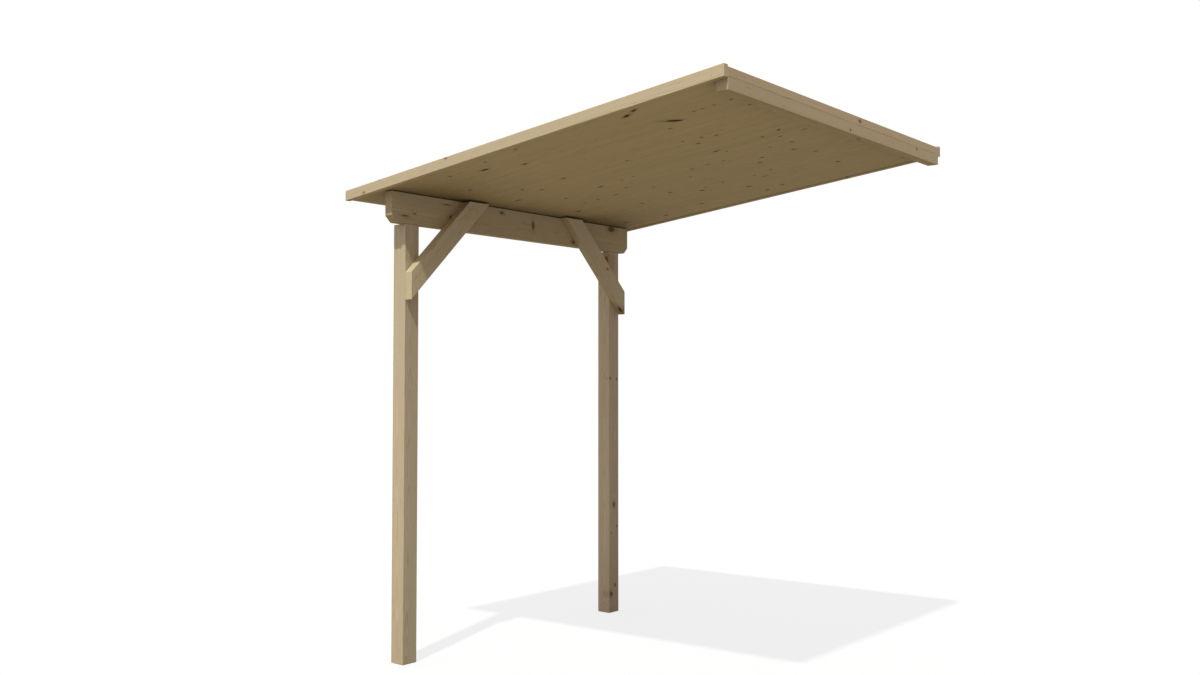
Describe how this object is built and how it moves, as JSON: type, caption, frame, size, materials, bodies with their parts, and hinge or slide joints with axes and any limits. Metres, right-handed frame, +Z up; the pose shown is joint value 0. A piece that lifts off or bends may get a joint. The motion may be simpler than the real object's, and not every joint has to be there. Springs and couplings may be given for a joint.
{
  "type": "side canopy",
  "caption": "Lean-to side canopy of planed pine: pitched roof of tongue and groove boards between fascias, held by a wall ledger and an eave beam on square posts with corner braces.",
  "frame": {"origin": "middle of the wall ledger's back face, which bears on the house wall", "axes": "+Y horizontally into the wall, +X to the right of someone who stands outside and faces the wall, +Z up"},
  "size_m": [2.024, 2.31, 2.6319],
  "materials": {
    "post_timber": "planed, pressure treated, unpainted",
    "frame_timber": "planed, pressure treated, unpainted",
    "edge_timber": "planed, pressure treated, unpainted",
    "roof_boards": "planed, pressure treated, unpainted, many knots"
  },
  "bodies": {
    "root": {"post_left": "post_timber", "post_right": "post_timber", "eave_beam": "frame_timber", "brace_left": "frame_timber", "brace_right": "frame_timber", "wall_ledger": "frame_timber", "side_fascia_left": "edge_timber", "side_fascia_right": "edge_timber", "wall_trim": "edge_timber", "eave_trim": "edge_timber", "roof_board_01": "roof_boards", "roof_board_02": "roof_boards", "roof_board_03": "roof_boards", "roof_board_04": "roof_boards", "roof_board_05": "roof_boards", "roof_board_06": "roof_boards", "roof_board_07": "roof_boards", "roof_board_08": "roof_boards", "roof_board_09": "roof_boards", "roof_board_10": "roof_boards", "roof_board_11": "roof_boards", "roof_board_12": "roof_boards", "roof_board_13": "roof_boards", "roof_board_14": "roof_boards", "roof_board_15": "roof_boards", "roof_board_16": "roof_boards", "roof_board_17": "roof_boards", "roof_board_18": "roof_boards"}
  },
  "joints": []
}
